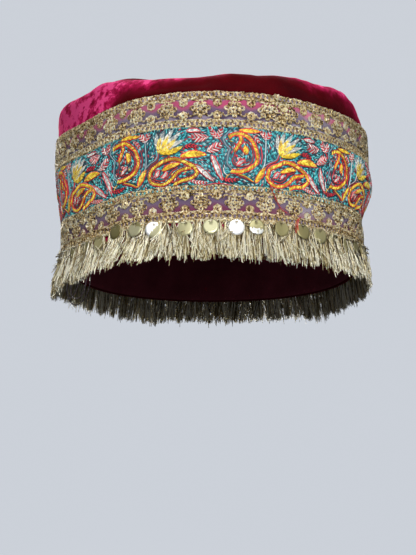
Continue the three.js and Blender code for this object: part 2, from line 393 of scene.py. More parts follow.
# angle and height above which a pink sheen is painted into the velvet's colour, where the light catches the
# pile
PAINTED_SHEEN_EDGE = [
    (-180, 86), (-150, 80), (-120, 82), (-95, 70), (-76, 65), (-62, 65), (-49, 67), (-41, 71), (-34, 77),
    (-28, 80), (-8, 82.2), (2, 85), (26, 85), (33, 81.4), (48, 80.2), (60, 79), (72, 77.6), (90, 80),
    (120, 84), (150, 79), (180, 86),
]
PAINTED_SHEEN_SOFTNESS = 1.3
# between these heights the turned hem, which lies in shade, gets painted light: its colour is lifted part way
# to the painted pink sheen
HEM = (0.5, 8)
HEM_PAINTED_LIGHT = 0.45


def velvet_swell(places, size, depth):
    return np.array([noise.noise(Vector(place) / size) for place in places]) * depth


def painted_sheen_of(angle, height, places):
    """How much pink sheen is painted into the velvet's colour, from 0 to 1."""
    edge = np.interp(angle, *np.array(PAINTED_SHEEN_EDGE, float).T)
    edge = edge + velvet_swell(places, 9, 2.0) + velvet_swell(places, 3.5, 0.8)
    painted_sheen_share = 1 / (1 + np.exp(-(height - edge) / PAINTED_SHEEN_SOFTNESS))
    return np.maximum(painted_sheen_share, HEM_PAINTED_LIGHT * ((height > HEM[0]) & (height < HEM[1])))


def roll(angle, t):
    """The outer face of the turned edge, from the wall at t = 0 to the stitching at t = 1."""
    level = np.full_like(angle, 1.0)
    start = wall(angle, SIDE_TOP, 0)
    rise = wall(angle, SIDE_TOP + 2.6, 0.3)
    over = crown(angle, level * 1.004, -1.0)
    end = crown(angle, level * TURN_SHARE, -TURN_THICK)
    return start * (1 - t) ** 3 + rise * 3 * t * (1 - t) ** 2 + over * 3 * t**2 * (1 - t) + end * t**3


def wall_ring(kind, value, angle):
    """One ring of the outline, and the height that its painted sheen is judged by."""
    if kind == "side":
        return wall(angle, value, 0), value
    if kind == "roll":
        return roll(angle, value), SIDE_TOP + (ROLL_HEIGHT - SIDE_TOP) * value
    if kind == "under":
        return crown(angle, np.full_like(angle, value), -0.05), 0
    if kind == "inner":
        return wall(angle, value, -WALL_THICKNESS), 0
    return wall(angle, *value), 0


def flat_grid(columns, count):
    """A grid, with the angle and the row of each of its vertices."""
    bm = bmesh.new()
    bmesh.ops.create_grid(bm, x_segments=columns, y_segments=count - 1, size=0.5)
    bm.verts.index_update()
    grid = np.array([vert.co for vert in bm.verts])
    return bm, grid[:, 0] * 360, np.round((grid[:, 1] + 0.5) * (count - 1)).astype(int)


def cloth_mesh(bm, places, painted_sheen, lined):
    """Moves the grid to its places, welds its seam and poles and lines its inner side."""
    for face in bm.faces:
        face.material_index = int(all(lined[vert.index] for vert in face.verts))
    # each point keeps the painted sheen that the velvet's colour ramp reads
    layer = bm.verts.layers.float.new("painted_sheen")
    for vert, place, value in zip(bm.verts, places, painted_sheen):
        vert.co = place / 1000
        vert[layer] = value
    bmesh.ops.remove_doubles(bm, verts=bm.verts, dist=WELD)
    bmesh.ops.recalc_face_normals(bm, faces=bm.faces)
    return to_mesh(bm, "cloth")

# %% Velvet wall
rows = [("side", h) for h in np.linspace(RIM, SIDE_TOP, SIDE_ROWS)]
rows += [("roll", t) for t in np.linspace(0, 1, ROLL_ROWS)[1:]]
rows += [("under", share) for share in (TURN_SHARE, 0.975, 0.99)]
rows += [("inner", h) for h in np.linspace(WALL_TOP, RIM, INNER_ROWS)]
rows += [("hem", k) for k in ((0, -1.6), (0, -0.4), (RIM, 0))]
bm, angles, row = flat_grid(WALL_COLUMNS, len(rows))
places = np.zeros((len(row), 3))
heights = np.zeros(len(row))
for index, (kind, value) in enumerate(rows):
    mine = row == index
    ring, heights[mine] = wall_ring(kind, value, angles[mine])
    soft = min(max((value - 1) / 60, 0), 1) if kind == "side" else kind in ("roll", "under")
    if soft:
        swell = velvet_swell(ring, 14, 0.006) + velvet_swell(ring + 50, 6, 0.003)
        ring = ring * (1 + soft * swell)[:, None]
    places[mine] = ring
lined = np.array([kind in ("inner", "under") for kind, value in rows])[row]
mesh = cloth_mesh(bm, places, painted_sheen_of(angles, heights, places), lined)
velvet_wall = piece("velvet_side_cloth", mesh, [velvet, lining], ["velvet_side_wall"])

# %% [markdown]
# ## The velvet crown
# The round itself is a disc with a top face, an edge tucked under the roll, and a lined under face.

# %% Velvet crown
CROWN_COLUMNS = 260
CROWN_TOP_ROWS = 56
CROWN_UNDER_ROWS = 18
CROWN_EDGE = 0.985
CROWN_THICKNESS = 2.0
# how far the crown is drawn down where the roll is stitched to it
TUCK = 1.7
crown_path = [(share, 0.0) for share in CROWN_EDGE * (1 - np.linspace(1, 0, CROWN_TOP_ROWS) ** 1.5)]
crown_path += [(CROWN_EDGE, 1.4)]
crown_path += [(share, CROWN_THICKNESS) for share in np.linspace(CROWN_EDGE, 0, CROWN_UNDER_ROWS)]
bm, angles, row = flat_grid(CROWN_COLUMNS, len(crown_path))
share, drop = np.array(crown_path)[row].T
on_top = drop < 1
places = crown(angles, share, drop)
hold = np.clip((0.96 - share) * 25, 0, 1) * on_top
places[:, 2] += hold * (velvet_swell(places, 22, 1.3) + velvet_swell(places + 40, 9, 0.6))
places[:, 2] -= on_top * TUCK * np.clip((share - TURN_SHARE + 0.012) / 0.03, 0, 1)
# painted sheen on the crown: about 0.3 with noise over the top, and near the rim as much as the roll's
# painted sheen, lifting the colour towards pink
lit = 0.3 + velvet_swell(places, 17, 0.5) + velvet_swell(places, 6, 0.25)
rim_lit = painted_sheen_of(angles, np.full(len(places), ROLL_HEIGHT - 0.5), places)
lit = np.where(share > 0.9, np.maximum(lit, rim_lit), lit)
mesh = cloth_mesh(bm, places, np.clip(lit, 0, 1), drop >= CROWN_THICKNESS)
velvet_top = piece("velvet_crown_cloth", mesh, [velvet, lining], ["velvet_crown"])

# %% [markdown]
# ## Threads and stitches
# All the needlework is thread: long threads are swept along smooth lines, and short stitches are
# copies of one tiny spindle. Both are made flat and bent on to the wall afterwards.

# %% Thread helpers
rng = np.random.default_rng(20)


def trace(points, step=1.0, closed=False):
    """A smooth line through the points, with a point about every step millimetres."""
    p = np.asarray(points, float)
    ends = (p[-1:], p[:2]) if closed else (2 * p[:1] - p[1:2], 2 * p[-1:] - p[-2:-1])
    p = np.vstack([ends[0], p, ends[1]])
    t = np.linspace(0, 1, 10, endpoint=False)[:, None]
    rows = [
        0.5 * (2 * b + (c - a) * t + (2 * a - 5 * b + 4 * c - d) * t**2 + (3 * b - a - 3 * c + d) * t**3)
        for a, b, c, d in zip(p, p[1:], p[2:], p[3:])
    ]
    line = np.vstack(rows + [p[-2:-1]])
    length = np.concatenate([[0], np.cumsum(np.linalg.norm(np.diff(line, axis=0), axis=1))])
    at = np.linspace(0, length[-1], max(round(length[-1] / step), 2) + 1)
    return np.stack([np.interp(at, length, line[:, k]) for k in range(line.shape[1])], 1)


def thread_mesh(lines, radius, closed=False):
    """Four-sided threads swept along many lines of points, as one mesh."""
    curve = bpy.data.curves.new("threads", "CURVE")
    curve.dimensions = "3D"
    curve.bevel_depth = radius
    curve.bevel_resolution = 0
    curve.use_fill_caps = True
    for line in lines:
        spline = curve.splines.new("POLY")
        spline.points.add(len(line) - 1)
        spline.points.foreach_set("co", np.column_stack([line, np.ones(len(line))]).ravel())
        spline.use_cyclic_u = closed
    holder = add_object("threads", curve)
    ready = holder.evaluated_get(bpy.context.evaluated_depsgraph_get())
    mesh = bpy.data.meshes.new_from_object(ready)
    bpy.data.objects.remove(holder)
    bpy.data.curves.remove(curve)
    return mesh


def join(parts):
    """Joins (mesh, material index) pairs into one mesh."""
    bm = bmesh.new()
    for mesh, index in parts:
        mesh.polygons.foreach_set("material_index", [index] * len(mesh.polygons))
        bm.from_mesh(mesh)
        bpy.data.meshes.remove(mesh)
    return to_mesh(bm, "joined")


def stitches(places, angles, lengths, widths, high, colours, rings=2):
    """Copies one spindle to every place, turned and stretched, with a material index for each."""
    bm = bmesh.new()
    bmesh.ops.create_uvsphere(bm, u_segments=4, v_segments=rings, radius=0.5)
    unit = np.array([vert.co for vert in bm.verts])[:, [2, 0, 1]]
    bm.verts.ensure_lookup_table()
    faces = [[vert.index for vert in face.verts] for face in bm.faces]
    bm.free()
    count = len(places)
    size = np.stack([lengths, widths, np.broadcast_to(high, count)], 1)
    x, y, z = np.moveaxis(unit[None] * size[:, None], -1, 0)
    c = np.cos(angles)[:, None]
    s = np.sin(angles)[:, None]
    turned = np.stack([x * c - y * s, x * s + y * c, z], -1)
    verts = (turned + np.asarray(places)[:, None]).reshape(-1, 3)
    all_faces = [[i + k * len(unit) for i in face] for k in range(count) for face in faces]
    mesh = bpy.data.meshes.new("stitches")
    mesh.from_pydata(verts.tolist(), [], all_faces)
    mesh.polygons.foreach_set("material_index", np.repeat(colours, len(faces)))
    return mesh

# %% [markdown]
# ## Gold thread
# The ribbons are worked in tilla, a fine metal strip wound on a silk core. It is bright metal with a
# slight roughness, and each length of it has tarnished a little differently. Fine noise also speckles
# its colour from dark brown to near white, as painted glints and painted shade along with the tarnish.

# %% Gold thread finish
gold, tree, shader = new_material(
    "tilla gold thread, metal strip wound on silk", Metallic=0.72, Roughness=0.32
)
where = object_place(tree)
tarnish_and_glint = noise_value(tree, where, 900, 3, 0.7)
# painted glints and shade with the tarnish: the colour runs from dark brown to near white over fine noise
paint(
    tree, shader, scaled(tree, own_tone(tree), 0.12, tarnish_and_glint), (0.42, "#38260E"), (0.5, "#BC985A"),
    (0.57, "#F4DEA6"), (0.66, "#FFFCE8"),
)
bump(tree, shader, noise_value(tree, where, 1700, 2, 0.8), 0.0006)

# %% [markdown]
# ## Ribbon ground
# Between the gold the silk ground shows: pink or maroon beside the small flowers, dark purple round
# the large ones and a greyish mauve in the holes of the edges, in fine cross ribs.

# %% Ribbon ground finish
RIBBON_REPEATS = 34
RIBBON_START = 3.0
RIBBON_PITCH = ROUND / RIBBON_REPEATS
# a strip's flat places are kept as texture coordinates, with a hundred millimetres to one
FLAT = 100


def ribbon_ground(name, middle, flip, pink):
    material, tree, shader = new_material(name, Roughness=0.75, Sheen_Weight=0.3, Sheen_Roughness=0.4)
    flat = add_node(tree, "ShaderNodeUVMap", {"uv_map": "flat"}).outputs["UV"]
    split = add_node(tree, "ShaderNodeSeparateXYZ", Vector=flat)
    turns = math.tau / RIBBON_PITCH
    beat = scaled(tree, split.outputs["X"], turns * FLAT, -turns * RIBBON_START)
    beside = add_node(tree, "ShaderNodeMath", {"operation": "COSINE"}, i0=beat).outputs[0]
    drift = scaled(tree, noise_value(tree, flat, 9.0, 4.0), 0.24, scaled(tree, beside, 0.06, 0.34))
    height = scaled(tree, split.outputs["Y"], 1, -middle / FLAT)
    paint(
        tree, shader, scaled(tree, height, flip * 5.0, drift), (0.2, "#8A7C90"), (0.25, "#463650"),
        (0.5, "#66506C"), (0.61, pink), (0.69, pink), (0.74, "#8A7C90"),
    )
    ribs = add_node(
        tree, "ShaderNodeTexWave", {"wave_type": "BANDS", "bands_direction": "X"}, Vector=flat, Scale=62.0
    ).outputs["Fac"]
    bump(tree, shader, ribs, 0.0003, 0.8)
    return material

# %% [markdown]
# ## The strip under each trim
# Each trim starts as a flat woven strip. A grid is bent round the wall, its two ends are welded at
# the back, and solidify gives it the thickness of a stiff ribbon.

# %% Strip helper
STRIP_COLUMNS = 360
STRIP_ROWS = 4
STRIP_UNEVEN = 0.12


def thicken(mesh, thick):
    """Welds a wrapped sheet where its ends meet and gives it a thickness."""
    bm = bmesh.new()
    bm.from_mesh(mesh)
    bmesh.ops.remove_doubles(bm, verts=bm.verts, dist=WELD)
    bmesh.ops.recalc_face_normals(bm, faces=bm.faces)
    bmesh.ops.solidify(bm, geom=bm.faces[:], thickness=thick / 1000)
    bm.to_mesh(mesh)
    bm.free()
    return mesh


def strip(low, high, out, thick):
    """A woven strip between two heights, wrapped round the wall."""
    bm = bmesh.new()
    bmesh.ops.create_grid(bm, x_segments=STRIP_COLUMNS, y_segments=STRIP_ROWS, size=0.5)
    layer = bm.loops.layers.uv.new("flat")
    for face in bm.faces:
        for loop in face.loops:
            x, y, z = loop.vert.co
            loop[layer].uv = (x * ROUND / FLAT, (low + (y + 0.5) * (high - low)) / FLAT)
    for vert in bm.verts:
        h = low + (vert.co.y + 0.5) * (high - low)
        around = vert.co.x * math.tau
        edge = STRIP_UNEVEN * noise.noise(Vector((10 * math.cos(around), 10 * math.sin(around), h / 9)))
        vert.co = (vert.co.x * ROUND, h + edge * 2, out + thick / 2 + edge)
    return thicken(wrap(to_mesh(bm, "strip")), thick)

# %% [markdown]
# ## The gold pattern
# One repeat of the ribbon is 17 mm long: a large rosette of eight coiled petals, a small scalloped
# flower above and one below beside it, and curling stems. Along both edges runs a row of open loops
# between dense lines of stitches. It is charted in millimetres from the large flower's knot.

# %% Gold chart
# the coiled petals: middle and radius
FLOWER_PETALS = [
    (0, 0.3, 0.8), (-3.8, 0.4, 1.2), (3.8, 0.4, 1.2), (0, 3.6, 1.2), (-2.1, 2.3, 0.95), (2.1, 2.3, 0.95),
    (-2.2, -2.0, 1.15), (2.2, -2.0, 1.15), (0, -3.5, 0.95), (-1.7, 0.2, 0.55), (1.7, 0.2, 0.55),
    (0, -1.5, 0.5), (0, 1.9, 0.4),
]
FLOWER_STEMS = [
    [(2.8, -2.8), (4.2, -3.8), (5.5, -3.3), (5.9, -2.0)],
    [(-2.8, -2.8), (-4.2, -3.8), (-5.5, -3.3), (-5.9, -2.0)],
    [(1.2, 4.3), (2.6, 4.9), (4.0, 4.8)],
    [(-1.2, 4.3), (-2.6, 4.9), (-4.0, 4.8)],
]
# the scalloped flowers: height and radius, with a knot of one size in each
SMALL_FLOWERS = [(3.5, 2.05), (-3.3, 2.0)]
KNOT_RADIUS = 1.1
# where the ends of the upper ribbon lap, and how far the pattern is out of step after it
JOINT = (33.0, -4.6)
LAP_STITCHES = 70
GOLD_LEVEL = 1.1
# radii of the threads
COIL_THREAD = 0.56
STEM_THREAD = 0.46
EDGE_THREAD = 0.47
EDGE_LOOP_PITCH = 2.35

# %% Gold pattern
def scallops(cx, cy, radius, count=6):
    around = np.linspace(0, math.tau, count * 4, endpoint=False)
    r = radius * (1 - 0.2 * np.abs(np.cos(around * count / 2)))
    return np.stack([cx + r * np.cos(around), cy + r * np.sin(around)], 1)


def laid(points, level, size, flip, place):
    """Charted points moved to their place on the ribbon, each a little astray."""
    p = np.asarray(points, float) * size
    p = p + rng.normal(0, 0.07, p.shape)
    return np.column_stack([p * (1, flip) + place, np.full(len(p), level)])


def gold_pattern(name, low, high, flip, joined):
    """The raised gold threads of one ribbon."""
    rings = []
    lines = []
    for k in range(RIBBON_REPEATS):
        centre = (k + 0.5) * RIBBON_PITCH - ROUND / 2 + RIBBON_START
        if joined and centre > JOINT[0]:
            centre += JOINT[1]
        place = rng.normal(0, 0.12, 2) + (centre, (low + high) / 2)
        size = 1 + rng.normal(0, 0.02)
        coils = []
        for number, (x, y, radius) in enumerate(FLOWER_PETALS):
            coils.append((scallops(x, y, radius, 3), GOLD_LEVEL + 0.03 * number))
        for y, radius in SMALL_FLOWERS:
            coils.append((scallops(RIBBON_PITCH / 2, y, radius), GOLD_LEVEL))
            coils.append((scallops(RIBBON_PITCH / 2, y, KNOT_RADIUS, 3), GOLD_LEVEL + 0.15))
        for points, level in coils:
            rings.append(trace(laid(points, level, size, flip, place), 0.8, closed=True)[:-1])
        for stem in FLOWER_STEMS:
            lines.append(trace(laid(stem, GOLD_LEVEL - 0.1, size, flip, place), 0.9))
    loops = round(ROUND / EDGE_LOOP_PITCH)
    turns = np.linspace(0, math.tau * loops, loops * 9 + 1)
    s = turns / math.tau * ROUND / loops - ROUND / 2 - 0.85 * np.sin(turns)
    tall = 1.15 * (1 + 0.08 * np.sin(turns / 7.3) + 0.05 * np.sin(turns / 3.1))
    out = GOLD_LEVEL + 0.12 * np.sin(turns)
    edges = []
    for edge, way in ((low, 1), (high, -1)):
        h = edge + way * (1.6 - tall * np.cos(turns)) + 0.08 * np.sin(turns / 4.7)
        edges.append(np.column_stack([s, h, out]))
    spots = []
    for h in (low + 0.3, low + 3.45, high - 3.45, high - 0.3):
        count = round(ROUND)
        s = (np.arange(count) + 0.5) * ROUND / count - ROUND / 2
        spots.append(np.column_stack([s, h + rng.normal(0, 0.16, count), rng.normal(GOLD_LEVEL, 0.1, count)]))
    if joined:
        spots.append(np.array([
            (rng.normal(JOINT[0], 1.3), rng.uniform(low + 0.6, high + 0.7), GOLD_LEVEL + 0.6)
            for _ in range(LAP_STITCHES)
        ]))
    spots = np.vstack(spots)
    count = len(spots)
    dense = stitches(
        spots, rng.normal(0.35, 0.3, count), rng.normal(1.6, 0.25, count), rng.normal(1.1, 0.12, count), 1.0,
        np.zeros(count, int), 3,
    )
    mesh = join([
        (thread_mesh(rings, COIL_THREAD, closed=True), 0),
        (thread_mesh(lines, STEM_THREAD), 0),
        (thread_mesh(edges, EDGE_THREAD), 0),
        (dense, 0),
    ])
    return piece(name, wrap(mesh), [gold])

# %% [markdown]
# ## The two ribbons
# The same ribbon was used twice. The upper one starts and ends in front, where the lap is caught down
# with extra raised stitches and the pattern is out of step.

# %% Gold ribbons
# name, lower and upper edge, which way up the pattern is, pink of the ground
RIBBONS = [("lower", 8.0, 24.8, -1, "#6E2848"), ("upper", 53.8, 72.0, 1, "#B4446C")]
for level, low, high, flip, pink in RIBBONS:
    ground = ribbon_ground(f"woven silk ribbon ground, {level}", (low + high) / 2, flip, pink)
    woven = strip(low, high, 0.3, 0.6)
    base = piece(f"{level}_gold_ribbon", woven, [ground], [f"{level}_gold_trim"])
    raised = gold_pattern(f"{level}_ribbon_gold_threads", low, high, flip, level == "upper")

# %% [markdown]
# ## Embroidery threads
# The band is crewel work in wool and silk thread. Each colour of thread is one finish: matt, slightly
# fuzzy, and never quite the same tone from one stitch to the next.

# %% Embroidery finishes
def thread_finish(name, dark, mid, light, roughness=0.6):
    material, tree, shader = new_material(name, Roughness=roughness, Sheen_Weight=0.12, Sheen_Roughness=0.5)
    paint(tree, shader, own_tone(tree), (0.0, dark), (0.5, mid), (1.0, light))
    bump(tree, shader, noise_value(tree, object_place(tree), 2200, 2), 0.0003, 0.7)
    return material


THREADS = {
    "turquoise": ("#168E9A", "#3AC6CE", "#84F0F0"),
    "teal": ("#082834", "#105464", "#1C8494"),
    "yellow": ("#B8860C", "#EACA24", "#FFF068"),
    "red": ("#980616", "#D41024", "#F23442"),
    "white": ("#8C9498", "#C6C8C2", "#F4F2EA"),
    "maroon": ("#240818", "#480A24", "#781038"),
    "grey": ("#7C8C98", "#A0B0B4", "#C4D2D4"),
}
COLOUR_NAMES = list(THREADS)
finishes = [thread_finish(f"embroidery thread, {name}", *tones) for name, tones in THREADS.items()]
print(len(finishes), "thread colours")

# %% [markdown]
# ## The motif chart
# One repeat is 61 mm: an upright paisley, a paisley lying on its side, a fan-shaped palmette between
# them, and small leaves and flowers on thin stems. The lines are charted in millimetres, along the
# band and up from the rim, and each says its colour and how wide it is worked.

# %% Motif chart
MOTIF_PITCH = 61.0
# kind, colours, width, points: a cord is laid in slanting stitches, a leaf in two rows of stitches
# that meet at its rib, and a stem is one thread
MOTIFS = [
    ("cord", "yellow", 1.5, [
        (8.4, 48.8), (10.5, 50), (13.8, 50.4), (16.8, 49.4), (19.7, 47.1), (21.8, 44.2), (23, 40.8),
        (23, 38.3), (22, 36), (20.1, 34.2), (17.2, 32.5), (13.8, 31.7), (9.9, 31.9),
    ]),
    ("cord", "yellow", 1.25, [(14, 49.6), (14.3, 47.1), (13.4, 45), (12.4, 42.9), (11.6, 41.9)]),
    ("leaf", "yellow", 2.5, [(16.6, 44.6), (17.2, 42.4), (17.2, 39.9)]),
    ("stem", "grey", 0.75, [
        (9.25, 52.1), (6.1, 48.8), (5.9, 46.7), (7.6, 44.2), (9, 42.5), (8.6, 40.8), (7.8, 37.9), (8, 35),
        (9.7, 32.9),
    ]),
    ("stem", "red", 0.5, [(12.6, 30.2), (17, 28.6), (21.3, 26.7)]),
    ("stem", "yellow", 0.5, [(13.6, 30.6), (17.6, 29.2), (21.8, 27.2)]),
    ("stem", "yellow", 0.6, [(7.0, 28.2), (7.8, 29.6), (9, 30.4)]),
    ("stem", "red", 0.5, [
        (10.6, 45.6), (12.0, 44.6), (11.4, 39.5), (10.6, 36.5), (13, 34.2), (18, 34.6), (20.4, 37.2),
        (20.9, 40.5), (19.6, 44), (17.2, 46.8),
    ]),
    ("leaf", "white", 1.6, [(12.4, 34.8), (14.6, 36.2), (16.6, 37.8)]),
    ("leaf", "red white", 1.6, [(12.6, 38.6), (14.8, 37.4)]),
    ("cord", "yellow", 1.45, [
        (28.6, 30.4), (29.7, 33.3), (31.3, 35), (34.7, 36.7), (38, 37.9), (41.8, 38.3), (45.9, 37.1),
        (49.7, 35.4), (52.2, 33.8), (53.8, 31.3), (52.2, 29.2), (49.3, 27.9), (45.9, 27.1), (42.2, 26.0),
    ]),
    ("cord", "yellow", 1.25, [
        (50.1, 33.3), (46.8, 32.9), (43.8, 31.3), (41.8, 29.2), (38.8, 26.9), (35.5, 26.2), (32.6, 26.4),
        (30.1, 27.7), (28.6, 30.4),
    ]),
    ("leaf", "yellow", 2.1, [(36.0, 33.0), (40.4, 34.9), (44.8, 35.8)]),
    ("stem", "red", 0.5, [(30.9, 30.2), (32.6, 28.6), (36, 28.2), (38.6, 29.6), (41, 32.2), (44.2, 34)]),
    ("leaf", "white", 1.7, [(32.2, 30), (33.8, 31.6), (34.6, 33.6)]),
    ("leaf", "white", 1.4, [(35.8, 29.6), (37.4, 31.2), (37.8, 32.4)]),
    ("blade", "white", 2.0, [(34.6, 42.3), (33.4, 47), (33.6, 51.8)]),
    ("blade", "white", 2.2, [(35, 42.4), (35.6, 47.6), (37.4, 53)]),
    ("blade", "white", 2.4, [(35.4, 42.4), (38.4, 47.6), (41.8, 53)]),
    ("blade", "white", 2.4, [(35.8, 42.2), (40.6, 47), (45.8, 51.2)]),
    ("blade", "white", 2.2, [(36.2, 41.8), (41.6, 44.8), (47.4, 47.2)]),
    ("blade", "yellow", 2.4, [(36.2, 41.0), (41.6, 41.8), (46.8, 44)]),
    ("blade", "yellow", 2.1, [(34.8, 41.8), (34.8, 45.6), (35.2, 49.2)]),
    ("blade", "yellow", 2.3, [(35.0, 41.6), (37.2, 45.8), (39.6, 49.8)]),
    ("blade", "yellow", 2.3, [(35.4, 41.4), (39.2, 44.6), (43.4, 47.6)]),
    ("stem", "grey", 0.6, [(34.2, 42), (33, 39), (29.5, 37), (27, 35.5)]),
    ("stem", "red", 0.5, [(34.8, 41.4), (33.6, 38.4), (30, 36.4), (27.6, 34.4)]),
    ("stem", "grey", 0.65, [(27.2, 49.6), (27.3, 43), (27.2, 36.3), (24.7, 31.7), (23, 28)]),
    ("leaf", "yellow", 3.0, [(45.6, 39.4), (52, 40.4), (58.4, 39.8)]),
    ("leaf", "yellow", 1.8, [(13.4, 52.3), (18.5, 52.2), (24, 51.9)]),
    ("leaf", "yellow", 2.4, [(22.2, 26.9), (24.6, 30.4), (27.2, 34.4)]),
    ("leaf", "maroon red", 1.9, [(4.8, 28.2), (9.5, 27.3), (14.4, 28.2)]),
    ("leaf", "white", 2.3, [(0.3, 39.4), (2.2, 34.6), (5.2, 27.2)]),
    ("leaf", "white", 2.1, [(52.8, 34.6), (57.4, 30.4), (62.2, 26.4)]),
    ("leaf", "red white", 1.7, [(49.6, 27.4), (54, 26.4), (59.2, 26.0)]),
    ("leaf", "red white", 2.8, [(27.2, 48.2), (26.0, 50.4), (24.2, 52.4)]),
    ("leaf", "red white", 2.8, [(27.4, 48.2), (28.6, 50.6), (29.8, 52.6)]),
    ("leaf", "red white", 2.6, [(3.0, 47.8), (1.2, 50.2), (-0.4, 52.2)]),
    ("leaf", "red white", 2.8, [(3.4, 47.8), (4.2, 50.4), (4.6, 52.8)]),
    ("leaf", "red white", 4.6, [(59.2, 48.6), (55.2, 48.0), (51.2, 48.6)]),
    ("leaf", "red white", 4.4, [(-2.4, 41.2), (1.2, 42.8), (4.8, 45.0)]),
    ("stem", "red", 0.5, [(3.2, 48.2), (4.8, 45.8), (5.4, 45)]),
    ("leaf", "red maroon", 2.2, [(47.5, 43.6), (51, 44.2), (54.6, 43.2)]),
    ("leaf", "white", 1.6, [(49, 51.8), (52.4, 51.9), (56, 51.2)]),
    ("leaf", "red white", 1.8, [(20.4, 50.2), (22.6, 48.2), (24.4, 46.4)]),
    ("stem", "red", 0.5, [(24.6, 44.6), (25.4, 40.2), (24.8, 36)]),
    ("stem", "white", 0.5, [(5.8, 33.4), (6.2, 30.8), (8.4, 29.2)]),
]
RED_THREAD = 0.29
# the ground within these is worked in other colours than turquoise
PAISLEY_BODIES = [

    [(10.5, 50), (13.8, 50.4), (19.7, 47.1), (23, 40.8), (22, 36), (17.2, 32.5), (9.9, 31.9), (8, 36),
     (9, 42.5), (6.1, 47)],
    [(28.6, 30.4), (31.3, 35), (38, 37.9), (45.9, 37.1), (53.8, 31.3), (49.3, 27.9), (42.2, 25.8),
     (32.6, 26.0)],
]

# %% [markdown]
# ## Working the band
# Outlines first: each charted line is filled with rows of short slanting stitches and edged in red.
# Then the ground is filled with turquoise stitches that follow the nearest outline round, as the
# embroiderer's needle did. New places are thrown at random and kept where no stitch lies yet.

# %% Chart lines
GROUND_LOW = 22.9
GROUND_HIGH = 53.6
GROUND_LENGTH = 2.2
GROUND_WIDTH = 0.66
# how many places are thrown for the ground of one repeat, and compared with the chart at a time
GROUND_TRIES = 16000
TRIES_AT_ONCE = 2000
# slants in radians, level above the wall, and widths of the motifs' stitches
STITCH_SLANT = 0.95
LEAF_SLANT = 0.7
MOTIF_LEVEL = 1.15
CORD_STITCH = 0.9
LEAF_STITCH = 0.72


def inside(points, polygon):
    x, y = points.T
    hit = np.zeros(len(points), bool)
    for (ax, ay), (bx, by) in zip(polygon, polygon[1:] + polygon[:1]):
        crosses = (ay > y) != (by > y)
        hit ^= crosses & (x < (bx - ax) * (y - ay) / (by - ay + 1e-9) + ax)
    return hit


def worked_line(kind, width, points, step):
    """A charted line with its direction, the direction across it and its half width at each point."""
    line = trace(points, step)
    along = np.gradient(line, axis=0)
    along /= np.linalg.norm(along, axis=1)[:, None]
    across = np.column_stack([-along[:, 1], along[:, 0]])
    part = np.linspace(0, 1, len(line))
    full = np.ones(len(line)) if kind in ("cord", "stem") else np.sin(math.pi * part**0.85) ** 0.75
    return line, along, across, full * width / 2


chart_points = []
chart_along = []
chart_width = []
for kind, colour, width, points in MOTIFS:
    line, along, across, half = worked_line(kind, width, points, 0.5)
    for shift in (-MOTIF_PITCH, 0, MOTIF_PITCH):
        chart_points.append(line + (shift, 0))
        chart_along.append(along)
        chart_width.append(half + 0.5)
chart_points = np.vstack(chart_points)
chart_along = np.vstack(chart_along)
chart_width = np.concatenate(chart_width)
print("charted points:", len(chart_points))

# %% Motif stitches
def motif_stitches(start):
    """One repeat of the motifs: rows of place, angle, length, width and colour, and the outlining threads."""
    made = []
    threads = []
    for kind, colour, width, points in MOTIFS:
        names = colour.split()
        tones = [COLOUR_NAMES.index(names[0]), COLOUR_NAMES.index(names[-1])]
        points = np.asarray(points, float) + rng.normal(0, 0.16, (len(points), 2)) + (start, 0)
        line, along, across, half = worked_line(kind, width, points, 1.0 if kind == "cord" else 0.78)
        heading = np.arctan2(along[:, 1], along[:, 0])
        n = len(line)
        tone = np.array(tones)[np.arange(n) % 2]
        if kind == "cord":
            level = MOTIF_LEVEL + 0.12 + rng.normal(0, 0.08, n)
            length = 2 * half / math.sin(STITCH_SLANT) * 1.3
            wide = np.full(n, CORD_STITCH)
            made.append(np.column_stack([line, level, heading + STITCH_SLANT, length, wide, tone]))
        if kind in ("leaf", "blade"):
            above = 0.18 if colour == "yellow" else 0
            wide = np.full(n, LEAF_STITCH)
            for way in (1, -1):
                level = MOTIF_LEVEL + above + 0.02 * way + rng.normal(0, 0.05, n)
                length = half / math.sin(LEAF_SLANT) * 1.25 + 0.35
                spot = line + across * (half / 2 * way)[:, None]
                made.append(np.column_stack([spot, level, heading + LEAF_SLANT * way, length, wide, tone]))
        if kind == "stem":
            threads.append((tones[0], width / 2, np.column_stack([line, np.full(n, MOTIF_LEVEL)])))
        elif kind != "blade" and (names[0] not in ("red", "maroon") or kind == "cord"):
            for way in (1, -1):
                edge = line + across * ((half + RED_THREAD * 0.6) * way)[:, None]
                edge += rng.normal(0, 0.1, edge.shape)
                level = MOTIF_LEVEL + 0.12 + rng.normal(0, 0.05, n)
                threads.append((COLOUR_NAMES.index("red"), RED_THREAD, np.column_stack([edge, level])))
    return np.vstack(made), threads

